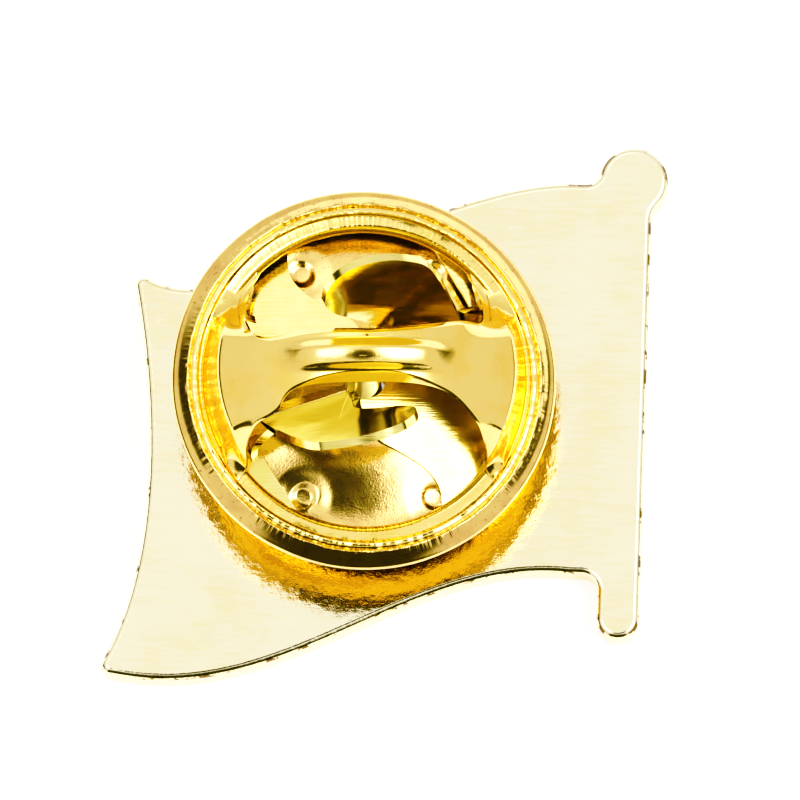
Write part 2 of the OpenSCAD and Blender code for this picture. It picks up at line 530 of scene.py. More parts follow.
@dataclass(frozen=True)
class ClutchSeat:
    """Where the clutch sits on the post. Its own axes are in millimetres from the rim's widest line."""

    rim_height: float = 5.0
    base_top: float = -0.6
    cant: float = 4.7
    spin: float = 2.4

    def post(self) -> Vector:
        """Returns the foot of the post's axis, from the record's mount."""
        mount = next(m for m in frame["record"]["mounts"] if m["name"] == "cloth_gap")
        return Vector((mount["pos_m"][0], mount["pos_m"][1], 0.0))

    def plate(self) -> Matrix:
        """Returns what carries a piece from the post's axis, in millimetres, to its place."""
        return Matrix.Translation(self.post()) @ Matrix.Scale(MM, 4)

    def matrix(self) -> Matrix:
        """Returns what carries a piece from the clutch's own axes to its place."""
        cant = math.radians(self.cant)
        pivot = Vector((0, 0, (self.rim_height + self.base_top * math.cos(cant)) * MM))
        turn = Matrix.Rotation(cant, 4, "Y") @ Matrix.Rotation(math.radians(self.spin), 4, "Z")
        lift = Matrix.Translation((0, 0, -self.base_top))
        return Matrix.Translation(self.post() + pivot) @ turn @ Matrix.Scale(MM, 4) @ lift


SEAT = ClutchSeat()


@dataclass(frozen=True)
class Gold(ABC):
    """Gold plate over a stamped or struck sheet. Its patterns are in millimetres."""

    name: str
    colour: tuple = (0.96, 0.665, 0.215)
    roughness: float = 0.09
    wear: Grain = Grain(2.3, 3.0, depth=0.06)

    def axes(self) -> Matrix:
        """Returns the axes that the patterns lie in: the clutch's own."""
        return SEAT.matrix()

    @abstractmethod
    def tint(self, paint: Paint, place: Wire) -> Wire:
        """Returns the colour over the surface."""

    @abstractmethod
    def relief(self, paint: Paint, place: Wire) -> Wire:
        """Returns the fine relief of the surface, in millimetres."""

    def material(self) -> bpy.types.Material:
        """Builds the finish."""
        made = bpy.data.materials.new(self.name)
        made.use_nodes = True
        paint = Paint(made.node_tree)
        where, turn, _ = self.axes().decompose()
        spot = paint.node("ShaderNodeTexCoord", {}, out="Object")
        place = paint.node("ShaderNodeMapping", {"vector_type": "TEXTURE"}, spot, tuple(where),
                           tuple(turn.to_euler()), (MM, MM, MM))
        bump = paint.node("ShaderNodeBump", {}, Strength=1.0, Distance=MM, Height=self.relief(paint, place))
        shader = paint.node("ShaderNodeBsdfPrincipled", {}, Base_Color=self.tint(paint, place), Metallic=1.0,
                            Roughness=self.roughness + paint.relief(place, self.wear), Normal=bump)
        paint.node("ShaderNodeOutputMaterial", {}, shader)
        return made


@dataclass(frozen=True)
class PlateGold(Gold):
    """The struck plate: pale gold, mottled, brushed along the flag, with burnt specks at its edges and
    painted shade on its sides.
    """

    name: str = "plate_gold"
    colour: tuple = (0.95, 0.84, 0.54)
    shade: tuple = (0.92, 0.77, 0.42)
    # painted shade: the deeper orange gold painted on the faces below the back
    side: tuple = (0.93, 0.66, 0.25)
    burr: tuple = (0.16, 0.09, 0.03)
    roughness: float = 0.05
    back: float = 1.2
    # depths below the back over which the painted side shade comes in
    side_shade_depths: Point = (0.05, 0.2)
    burr_start: Point = (0.02, 0.06)
    burr_end: Point = (0.30, 0.16)
    mottle: Grain = Grain(0.5, 4.0, low=0.42, high=0.66)
    speck: Grain = Grain(1.6, 4.0, 0.7, 0.54, 0.60)
    pebble: Grain = Grain(2.6, 4.0, 0.6, depth=0.011)
    brush: Grain = Grain(2.2, 4.0, 0.6, depth=0.0012)
    brush_share: float = 0.45
    brush_scale: tuple = (0.5, 4.0, 1.0)

    def axes(self) -> Matrix:
        """Returns the frame's axes."""
        return Matrix.Identity(4)

    def tint(self, paint: Paint, place: Wire) -> Wire:
        """Returns pale gold with darker mottling, painted shade on the sides and brown specks just below the
        edges.
        """
        streaks = paint.noise(paint.stretch(place, self.brush_scale), self.brush)
        mottle = (1.0 - self.brush_share) * paint.noise(place, self.mottle) + self.brush_share * streaks
        gold = paint.blend(paint.between(mottle, self.mottle.low, self.mottle.high), self.colour, self.shade)
        # painted shade: below the back the gold turns deeper orange by depth alone
        depth = self.back - paint.split(place)[2]
        gold = paint.blend(paint.between(depth, *self.side_shade_depths), gold, self.side)
        edge = paint.between(depth, *self.burr_start) * paint.between(depth, *self.burr_end)
        return paint.blend(edge * paint.patches(place, self.speck), gold, self.burr)

    def relief(self, paint: Paint, place: Wire) -> Wire:
        """Returns an uneven, pebbly back with faint streaks."""
        brushed = paint.stretch(place, self.brush_scale)
        return paint.relief(place, self.pebble) + paint.relief(brushed, self.brush)


@dataclass(frozen=True)
class RimGold(Gold):
    """The rolled rim and disc: stained on top, scored across its lip, grainy inside, with painted shade on
    the faces that look down.
    """

    name: str = "rim_gold"
    stain: tuple = (0.78, 0.47, 0.17)
    burn: tuple = (0.42, 0.21, 0.07)
    # painted shade: the darker gold painted on faces that look down
    underside_shade: tuple = (0.62, 0.33, 0.04)
    cloud: Grain = Grain(1.3, 5.0, 0.62, 0.40, 0.64, 0.25, 0.85)
    speck: Grain = Grain(7.0, 3.0, 0.6, 0.62, 0.68, most=0.7)
    # how far down a face must look to take the painted shade
    underside_shade_range: Point = (-0.05, -0.4)
    lip_start: Point = (5.18, 5.3)
    lip_end: Point = (5.6, 5.4)
    disc_end: Point = (5.0, 4.7)
    score: Grain = Grain(34.0, depth=0.02)
    grit: Grain = Grain(17.0, depth=0.0018)
    ripple: Grain = Grain(1.8, 3.0, depth=0.005)

    def tint(self, paint: Paint, place: Wire) -> Wire:
        """Returns gold with brown stains and specks, and painted shade, a darker gold, on the faces that look
        down.
        """
        gold = paint.blend(paint.patches(place, self.cloud), self.colour, self.stain)
        gold = paint.blend(paint.patches(place, self.speck), gold, self.burn)
        # painted shade: faces whose normal points down blend into the darker gold
        up = paint.split(paint.node("ShaderNodeTexCoord", {}, out="Normal"))[2]
        return paint.blend(paint.between(up, *self.underside_shade_range), gold, self.underside_shade)

    def relief(self, paint: Paint, place: Wire) -> Wire:
        """Returns scores across the lip, a grainy disc and ripples."""
        radius, around = paint.polar(place)
        lip = paint.between(radius, *self.lip_start) * paint.between(radius, *self.lip_end)
        disc = paint.between(radius, *self.disc_end)
        return (lip * paint.relief(around, self.score) + disc * paint.relief(place, self.grit)
                + paint.relief(place, self.ripple))


@dataclass(frozen=True)
class CapGold(Gold):
    """The cap: softly rippled, with pits, hair scratches and radial draw marks on its ring."""

    name: str = "cap_gold"
    shade: tuple = (0.95, 0.61, 0.155)
    pit: tuple = (0.30, 0.16, 0.05)
    cloud: Grain = Grain(0.8, 4.0, 0.6, 0.42, 0.66, most=0.8)
    pit_scale: float = 1.1
    pit_size: Grain = Grain(0.9, low=0.5, high=0.62, most=0.06)
    pit_edge: Point = (0.02, -0.01)
    ring_start: Point = (4.1, 4.4)
    ring_end: Point = (5.05, 4.95)
    draw: Grain = Grain(42.0, depth=0.008)
    scratch: Grain = Grain(1.6, low=0.60, high=0.66, most=0.0008)
    scratch_scale: tuple = (1.0, 12.0, 1.0)
    scratch_turn: float = 0.5
    ripple: Grain = Grain(1.5, 4.0, 0.55, depth=0.008)

    def tint(self, paint: Paint, place: Wire) -> Wire:
        """Returns gold that deepens in clouds, with a few dark pits."""
        gold = paint.blend(paint.patches(place, self.cloud), self.colour, self.shade)
        cell = paint.node("ShaderNodeTexVoronoi", {}, Vector=place, Scale=self.pit_scale)
        pits = paint.between(cell - paint.patches(place, self.pit_size), *self.pit_edge)
        return paint.blend(pits, gold, self.pit)

    def relief(self, paint: Paint, place: Wire) -> Wire:
        """Returns ripples, scratches and the ring's draw marks."""
        radius, around = paint.polar(place)
        ring = paint.between(radius, *self.ring_start) * paint.between(radius, *self.ring_end)
        drawn = paint.stretch(place, self.scratch_scale, self.scratch_turn)
        return (paint.relief(place, self.ripple) + paint.patches(drawn, self.scratch)
                + ring * paint.relief(around, self.draw))


@dataclass(frozen=True)
class SpringGold(Gold):
    """The spring: rolled sheet with fine lines along the rolling."""

    name: str = "spring_gold"
    colour: tuple = (0.91, 0.735, 0.26)
    shade: tuple = (0.86, 0.68, 0.19)
    line: Grain = Grain(2.4, 3.0, 0.6, depth=0.003)
    line_scale: tuple = (0.25, 6.0, 1.0)
    line_turn: float = 14.0
    line_share: float = 0.5
    cloud: Grain = Grain(0.9, 4.0, low=0.46, high=0.62)
    ripple: Grain = Grain(0.7, depth=0.012)

    def rolled(self, paint: Paint, place: Wire) -> Wire:
        """Returns the place drawn out along the rolling."""
        return paint.stretch(place, self.line_scale, -math.radians(self.line_turn))

    def tint(self, paint: Paint, place: Wire) -> Wire:
        """Returns gold that deepens along the rolling lines and in clouds."""
        lines = paint.noise(self.rolled(paint, place), self.line)
        cloud = (1.0 - self.line_share) * paint.noise(place, self.cloud) + self.line_share * lines
        return paint.blend(paint.between(cloud, self.cloud.low, self.cloud.high), self.colour, self.shade)

    def relief(self, paint: Paint, place: Wire) -> Wire:
        """Returns rolling lines over slow ripples."""
        return paint.relief(self.rolled(paint, place), self.line) + paint.relief(place, self.ripple)


@dataclass(frozen=True)
class PostMetal(Gold):
    """The post: paler metal with fine turning marks round it."""

    name: str = "post_metal"
    colour: tuple = (0.72, 0.68, 0.58)
    shade: tuple = (0.50, 0.42, 0.30)
    roughness: float = 0.2
    mark: Grain = Grain(3.0, 3.0, low=0.4, high=0.75, depth=0.002)
    mark_scale: tuple = (0.3, 0.3, 9.0)

    def tint(self, paint: Paint, place: Wire) -> Wire:
        """Returns pale metal that darkens in its turning marks."""
        marks = paint.patches(paint.stretch(place, self.mark_scale), self.mark)
        return paint.blend(marks, self.colour, self.shade)

    def relief(self, paint: Paint, place: Wire) -> Wire:
        """Returns the turning marks as relief."""
        return paint.relief(paint.stretch(place, self.mark_scale), self.mark)


def dress(piece: Piece, material: bpy.types.Material) -> None:
    """Gives a piece one finish all over."""
    piece.data.materials.clear()
    piece.data.materials.append(material)


def settle(piece: Piece, body: Body, slot: str, *nodes: str) -> None:
    """Puts a finished piece into the frame.

    Args:
        piece: the piece.
        body: the body that it rides on.
        slot: the record's material slot; it is not used.
        *nodes: the frame's nodes that it stands for.
    """
    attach(piece, body.value)
    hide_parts(*nodes)
    LOG.info("%s: %d faces on %s", piece.name, len(piece.data.polygons), body.value)


@dataclass
class FlagPlate:
    """The struck plate: a waving flag with its pole and a round finial."""

    thickness: float = 1.2
    pole_width: float = 1.3
    pole_x: float = 7.84
    pole_foot_y: float = -7.02
    finial: Point = (7.92, 7.16)
    finial_radius: float = 1.04
    neck_blend: float = 0.7
    brow_blend: float = 0.45
    heel_blend: float = 0.5
    bottom: tuple = ((-7.08, -8.59), (-2.06, -9.30), (1.51, -4.67), (6.29, -5.04))
    top: tuple = ((6.31, 7.03), (2.23, 7.22), (-4.09, 2.21), (-6.79, 3.745))
    fly: tuple = ((-7.145, 3.485), (-6.43, 0.01), (-6.06, -4.86), (-7.735, -8.09))
    fly_head: Point = (-6.91, 3.535)
    fly_head_radius: float = 0.24
    fly_head_turn: Point = (66.0, 180.0)
    fly_foot: Point = (-7.47, -8.23)
    fly_foot_radius: float = 0.3
    fly_foot_turn: Point = (160.0, 258.0)
    border: float = 0.75
    field_depth: float = 0.3
    cutter_depth: float = 1.0
    beyond: float = 12.0
    near: float = 1e-4
    back_round: float = 0.2
    back_strips: int = 5
    front_round: float = 0.12
    front_strips: int = 3
    edge_steps: int = 60
    corner_steps: int = 8

    def outline(self) -> list[Point]:
        """Returns the points round the plate, from the pole's foot on the side of the cloth."""
        half = self.pole_width / 2
        right, left = self.pole_x + half, self.pole_x - half
        fx, fy = self.finial
        reach = self.finial_radius + self.neck_blend
        neck_x = right + self.neck_blend - fx
        neck = (fx + neck_x, fy - math.sqrt(reach ** 2 - neck_x ** 2))
        reach = self.finial_radius + self.brow_blend
        brow_y = self.top[0][1] + self.brow_blend - fy
        brow = (fx - math.sqrt(reach ** 2 - brow_y ** 2), fy + brow_y)
        heel = (left - self.heel_blend, self.bottom[3][1] - self.heel_blend)
        neck_turn = math.degrees(math.atan2(neck[1] - fy, neck[0] - fx))
        brow_turn = math.degrees(math.atan2(brow[1] - fy, brow[0] - fx))
        few = self.corner_steps
        return [
            *arc((self.pole_x, self.pole_foot_y + half), half, 180, 360, 3 * few),
            *arc(neck, self.neck_blend, 180, 180 + neck_turn, few),
            *arc(self.finial, self.finial_radius, neck_turn, brow_turn, 6 * few)[1:],
            *arc(brow, self.brow_blend, brow_turn - 180, -90, few)[1:],
            *bezier(self.top, self.edge_steps),
            *arc(self.fly_head, self.fly_head_radius, *self.fly_head_turn, few),
            *bezier(self.fly, self.edge_steps),
            *arc(self.fly_foot, self.fly_foot_radius, *self.fly_foot_turn, few),
            *bezier(self.bottom, self.edge_steps),
            *arc(heel, self.heel_blend, 90, 0, few),
        ]

    def field(self) -> tuple[list[Point], list[Point]]:
        """Returns the two outlines whose common part is the front's sunk field."""
        right = self.pole_x - self.pole_width / 2 - self.border / 2
        low = beside(bezier(self.bottom, self.edge_steps), self.border)
        high = beside(bezier(self.top, self.edge_steps), self.border)
        side = beside(bezier(self.fly, self.edge_steps), self.border)
        waves = [*low, (right, low[-1][1]), (right, high[0][1]), *high]
        cloth = [(self.beyond, self.beyond), (side[0][0], side[0][1] + 1), *side,
                 (side[-1][0], side[-1][1] - 1), (self.beyond, -self.beyond)]
        return waves, cloth

    def build(self) -> Piece:
        """Builds the plate, back up."""
        plate = Bench.slab("flag_plate", self.outline(), 0.0, self.thickness)
        waves, cloth = self.field()
        deep = 2.0 * self.cutter_depth
        pocket = Bench.slab("pocket", waves, -self.cutter_depth, self.field_depth)
        Bench.cut(pocket, Bench.slab("cloth", cloth, -deep, deep), Cut.COMMON)
        Bench.cut(plate, pocket, Cut.AWAY)
        back, front = self.thickness - self.near, self.near
        Bench.round_edges(plate, lambda a, b: min(a.z, b.z) > back, self.back_round, self.back_strips)
        Bench.round_edges(plate, lambda a, b: max(a.z, b.z) < front, self.front_round, self.front_strips)
        Bench.finish(plate, "WEIGHTED_NORMAL", keep_sharp=False)
        return plate


@dataclass
class Post:
    """The pointed post soldered to the back of the plate."""

    foot: float = 1.2
    radius: float = 0.55
    height: float = 7.2
    point: float = 1.1
    shoulder_pull: float = 0.5
    tip_pull: Point = (0.22, 0.1)
    tip_radius: float = 0.06
    tip_rise: float = 0.024
    solder_radius: float = 1.0
    sunk: float = 0.02
    steps: int = 64
    fillet_steps: int = 8
    point_steps: int = 14
    crease: float = 35.0

    def build(self) -> Piece:
        """Builds the post on its axis, with its solder fillet."""
        flare = self.solder_radius - self.radius
        shoulder = self.foot + self.height - self.point
        top = self.foot + self.height
        section = [
            (0.0, self.foot - self.sunk),
            (self.solder_radius, self.foot - self.sunk),
            *arc((self.solder_radius, self.foot + flare), flare, 270, 180, self.fillet_steps),
            *bezier(((self.radius, shoulder), (self.radius, shoulder + self.shoulder_pull * self.point),
                     (self.tip_pull[0], top - self.tip_pull[1]), (self.tip_radius, top)), self.point_steps),
            (0.0, top + self.tip_rise),
        ]
        post = Bench.turned("post", section, self.steps)
        Bench.smooth(post, self.crease)
        return post


@dataclass
class ClutchBase:
    """The clutch's lower disc, whose edge is rolled up and in over the cap."""

    sheet: float = 0.25
    hole: float = 0.75
    soft: float = 0.06
    bottom: float = -0.85
    rim: float = 5.8
    flat: float = 5.15
    bead: tuple = ((((5.80, 0.0), (5.80, 0.1), (5.73, 0.13), (5.64, 0.19)), 6),
                   (((5.64, 0.19), (5.56, 0.25), (5.48, 0.315), (5.40, 0.38)), 6),
                   (((5.40, 0.38), (5.37, 0.41), (5.35, 0.43), (5.33, 0.43)), 4),
                   (((5.33, 0.43), (5.30, 0.43), (5.26, 0.40), (5.24, 0.345)), 6))
    inside: tuple = ((5.30, 0.31), (5.38, 0.16), (5.43, -0.1), (5.46, -0.3), (5.35, -0.48))
    pips: int = 6
    pip_ring: float = 3.94
    pip_shift: float = 0.17
    pip_reach: float = 5.05
    pip_radius: float = 0.45
    pip_depth: float = 0.07
    halo_radius: float = 0.95
    halo_depth: float = 0.04
    sag: float = 0.3
    sag_below: float = -0.3
    sag_start: Point = (1.9, 4.5)
    sag_end: Point = (4.8, 5.7)
    lip_start: Point = (0.1, 0.3)
    lip_end: Point = (5.30, 5.42)
    lip_depth: float = 0.035
    lip_waves: tuple = ((1.0, 8.0, 0.0), (0.5, 22.0, 0.0))
    lip_rise: tuple = (0.03, 11.0, 7.0)
    rim_wave: tuple = (0.012, 3.0, 4.0)
    crimps: float = 160.0
    crimp_depth: float = 0.014
    crimp_wave: tuple = (6.0, 5.0, 0.0)
    crimp_start: Point = (-0.3, 0.5)
    steps: int = 640
    rings: int = 44
    rim_steps: int = 14
    soft_steps: int = 3
    crease: float = 60.0

    def section(self) -> list[Point]:
        """Returns the closed section of the disc and its rolled rim."""
        top = self.bottom + self.sheet
        inner = self.hole + self.soft
        flat_low = [(inner + (self.flat - inner) * i / self.rings, self.bottom) for i in range(self.rings)]
        width = self.rim - self.flat
        low = arc((self.flat, 0.0), width, -90, 0, self.rim_steps, -self.bottom / width)
        flat_top = [(x, top) for x, _ in reversed(flat_low)]
        edge = arc((inner, top - self.soft), self.soft, 90, 180, self.soft_steps)[1:]
        foot = arc((inner, self.bottom + self.soft), self.soft, 180, 270, self.soft_steps)[:-1]
        bead = joined(*self.bead)[1:]
        return [*flat_low, *low, *bead, *self.inside, (self.flat, top), *flat_top, *edge, *foot]

    def press(self, p: Vector) -> Vector:
        """Presses the pips down through the flat and crimps the lip at one point."""
        radius = math.hypot(p.x, p.y)
        if p.z < self.sag_below:
            sunk = smooth_step(*self.sag_start, radius) * (1.0 - smooth_step(*self.sag_end, radius))
            p.z -= self.sag * sunk
        if radius < self.pip_reach:
            step = math.tau / self.pips
            turn = round(math.atan2(p.y, p.x - self.pip_shift) / step) * step
            away = math.hypot(p.x - self.pip_shift - self.pip_ring * math.cos(turn),
                              p.y - self.pip_ring * math.sin(turn))
            p.z -= self.pip_depth * (1.0 - smooth_step(0.5 * self.pip_radius, self.pip_radius, away))
            p.z -= self.halo_depth * (1.0 - smooth_step(self.pip_radius, self.halo_radius, away))
            return p
        turn = math.atan2(p.y, p.x)
        around = Vector((math.cos(turn), math.sin(turn), 0.0))
        lip = smooth_step(*self.lip_start, p.z) * (1.0 - smooth_step(*self.lip_end, radius))
        uneven = waver(around, *self.lip_waves)
        pleat = math.sin(self.crimps * turn + waver(around, self.crimp_wave))
        crimp = self.crimp_depth * pleat * smooth_step(*self.crimp_start, uneven)
        p += around * (lip * (self.lip_depth * uneven + crimp) + waver(around, self.rim_wave))
        p.z += lip * waver(around, self.lip_rise)
        return p

    def build(self) -> Piece:
        """Builds the base."""
        base = Bench.turned("rolled_base", self.section(), self.steps, closed=True)
        Bench.reshape(base, self.press)
        Bench.smooth(base, self.crease)
        return base


@dataclass
class ClutchCap:
    """The cap: a ring with a bridge arched over it, into which a rib is pressed."""

    sheet: float = 0.24
    flank: tuple = ((0.0, 3.8), (1.7, 3.8), (3.0, 2.95), (4.46, 2.0))
    shoulder: tuple = ((4.46, 2.0), (4.48, 1.985), (4.49, 1.97), (4.495, 1.94))
    wall: tuple = ((4.495, 1.94), (4.57, 1.4), (4.70, 0.85), (4.94, 0.32))
    foot: float = 4.94
    ring_level: float = 0.43
    ring_top: tuple = ((((4.50, 0.08), (4.53, 0.24), (4.60, 0.33), (4.74, 0.33)), 8),
                       (((4.96, 0.33), (5.02, 0.33), (5.02, 0.43), (5.08, 0.43)), 8),
                       (((5.08, 0.43), (5.15, 0.43), (5.21, 0.41), (5.27, 0.35)), 8))
    ring_back: tuple = ((5.32, 0.2), (5.32, -0.2), (4.62, -0.2), (4.55, -0.02))
    ring_steps: int = 640
    ring_crease: float = 50.0
    band_start: Point = (4.95, 5.1)
    band_above: Point = (0.25, 0.35)
    band_waves: tuple = ((0.035, 9.0, 0.0), (0.021, 27.0, 0.0))
    back_left: tuple = ((0.0, 0.90), (1.1, 0.93), (2.02, 0.90), (2.78, 0.80), (3.16, 0.83), (3.45, 1.02),
                        (3.57, 1.36), (3.58, 1.85), (3.52, 2.35), (3.34, 2.84), (3.08, 3.36), (3.05, 3.91))
    back_right: tuple = ((0.0, 0.90), (0.9, 0.98), (1.82, 1.11), (2.59, 1.27), (3.06, 1.36), (3.40, 1.48),
                         (3.56, 1.75), (3.57, 2.15), (3.50, 2.55), (3.34, 2.90), (3.12, 3.30), (3.13, 3.85))
    front_left: tuple = ((0.0, 0.72), (0.76, 0.72), (1.59, 0.76), (2.20, 0.88), (2.49, 1.09), (2.68, 1.42),
                         (2.96, 1.62), (3.32, 1.78), (3.52, 2.04), (3.60, 2.40), (3.56, 2.80), (3.78, 3.21))
    front_right: tuple = ((0.0, 0.72), (0.64, 0.71), (1.49, 0.76), (2.25, 0.93), (2.65, 1.15), (3.04, 1.51),
                          (3.33, 1.85), (3.52, 2.20), (3.62, 2.50), (3.62, 2.80), (3.70, 3.02), (3.83, 3.15))
    back_spread: Point = (12.0, 33.0)
    front_spread: Point = (24.0, 41.0)
    back_fall: Point = (3.0, 4.5)
    front_fall: Point = (3.5, 4.7)
    fall_power: float = 0.8
    sink: float = 0.17
    sink_start: float = 0.8
    sink_past: float = 6.0
    bow_start: float = 0.35
    bow_power: float = 1.5
    pull_start: Point = (0.42, 0.85)
    roll: float = 0.2
    swell: float = 1.4
    swell_end: Point = (0.1, 0.5)
    roll_slope: float = 1.4
    roll_soft: float = 0.07
    rib_reach: float = 2.8
    rib_taper: float = 1.2
    rib_flat: float = 0.2
    rib_back: float = 0.64
    rib_front: float = 0.47
    rib_height: float = 0.28
    rib_crown: float = 0.28
    rib_lean: float = 0.36
    along: int = 180
    across: int = 130
    edge_steps: int = 8
    dome_steps: tuple = (60, 12, 30)
    dome: list = field(init=False)
    marks: list = field(init=False)

    def __post_init__(self) -> None:
        """Works out the bridge's section along its middle and the distances along it."""
        self.dome = joined(*zip((self.flank, self.shoulder, self.wall), self.dome_steps))
        self.marks = self.measure(self.dome)

    @staticmethod
    def measure(path: Sequence[Point]) -> list[float]:
        """Returns the distance along a path to each of its points."""
        marks = [0.0]
        for a, b in zip(path, path[1:]):
            marks.append(marks[-1] + math.dist(a, b))
        return marks

    @staticmethod
    def at(path: Sequence[Point], marks: Sequence[float], mark: float) -> Point:
        """Returns the point of a path at one of its marks, which rise along it."""
        mark = min(max(mark, marks[0]), marks[-1])
        i = min(max(bisect.bisect_left(marks, mark), 1), len(marks) - 1)
        t = (mark - marks[i - 1]) / (marks[i] - marks[i - 1])
        return tuple(path[i - 1][k] + (path[i][k] - path[i - 1][k]) * t for k in (0, 1))

    def height(self, x: float, y: float) -> float:
        """Returns the bridge's height at a place in plan, let down beside its middle."""
        radius = math.hypot(x, y)
        z = self.at(self.dome, [r for r, _ in self.dome], radius)[1]
        turn = math.degrees(math.atan2(abs(y), abs(x)))
        spread, fall = (self.back_spread, self.back_fall) if y > 0.0 else (self.front_spread, self.front_fall)
        sunk = smooth_step(self.sink_start * spread[1], spread[1] + self.sink_past, turn)
        level = self.ring_level - self.sink * sunk
        begun = min(1.0, max(0.0, (turn - spread[0]) / (spread[1] - spread[0]))) ** self.fall_power
        down = smooth_step(0.0, 1.0, begun) * smooth_step(*fall, radius)
        return z - (z - level) * down

    def rib(self, x: float, y: float) -> float:
        """Returns how far the pressed rib stands above the bridge at a place in plan."""
        along = 1.0 - smooth_step(self.rib_reach - self.rib_taper, self.rib_reach, abs(x))
        beside_it = smooth_step(self.rib_flat, self.rib_back if y > 0.0 else self.rib_front, abs(y))
        return along * (self.rib_height - self.rib_crown * (y - self.rib_lean) ** 2) * (1.0 - beside_it)

    def arch(self) -> Piece:
        """Builds the bridge: a sheet laid between its two edges, raised, with its edges rolled down."""
        edges = {}
        for side, way, knots in ((1, 1, self.back_right), (1, -1, self.front_right),
                                 (-1, 1, self.back_left), (-1, -1, self.front_left)):
            path = through([(side * x, way * y) for x, y in knots], self.edge_steps)
            edges[side, way] = path, self.measure(path)

        def lay(across: float, v: float) -> Vector:
            """Carries a point of the sheet, by its shares of both ways, to the cup."""
            side = 1 if across >= 0.5 else -1
            share = self.at(self.dome, self.marks, abs(2.0 * across - 1.0) * self.marks[-1])[0] / self.foot
            swing = math.sin(math.pi / 2 * (2.0 * v - 1.0))
            k = (swing + 1.0) / 2.0
            (back, back_marks), (front, front_marks) = edges[side, 1], edges[side, -1]
            b = self.at(back, back_marks, share * back_marks[-1])
            f = self.at(front, front_marks, share * front_marks[-1])
            high, low = (math.atan2(path[-1][1], abs(path[-1][0])) for path in (back, front))
            turn = low + (high - low) * k
            arch = (side * self.foot * math.cos(turn), self.foot * math.sin(turn))
            chord = [front[-1][i] + (back[-1][i] - front[-1][i]) * k for i in (0, 1)]
            bow = max(0.0, (share - self.bow_start) / (1.0 - self.bow_start)) ** self.bow_power
            x, y = (f[i] + (b[i] - f[i]) * k + (arch[i] - chord[i]) * bow for i in (0, 1))
            pull = (1.0 - swing * swing) * smooth_step(*self.pull_start, share)
            scale = 1.0 + pull * (share * self.foot / max(math.hypot(x, y), 0.1) - 1.0)
            x, y = x * scale, y * scale
            widened = 1.0 if swing > 0.0 else self.swell - smooth_step(*self.swell_end, share)
            inward = max(0.0, self.roll * widened - (1.0 - abs(swing)) * math.dist(b, f) / 2)
            down = self.roll_slope * inward * inward / (inward + self.roll_soft)
            return Vector((x, y, self.height(x, y) + self.rib(x, y) - down))

        arch = Bench.sheet("arch", self.along, self.across, lay)
        Bench.thicken(arch, self.sheet)
        return arch

    def ring(self) -> Piece:
        """Builds the ring that the rim holds."""
        ring = Bench.turned("ring", [*joined(*self.ring_top), *self.ring_back], self.ring_steps, closed=True)
        Bench.reshape(ring, self.buckle)
        Bench.smooth(ring, self.ring_crease)
        return ring

    def buckle(self, p: Vector) -> Vector:
        """Buckles the ring's raised band, as the rim's rolling left it."""
        radius = math.hypot(p.x, p.y)
        share = smooth_step(*self.band_start, radius) * smooth_step(*self.band_above, p.z)
        p.z += share * waver(Vector((p.x / radius, p.y / radius, 0.0)), *self.band_waves)
        return p

    def build(self) -> Piece:
        """Builds the cap."""
        return Bench.join([self.arch(), self.ring()], "pressed_cap")


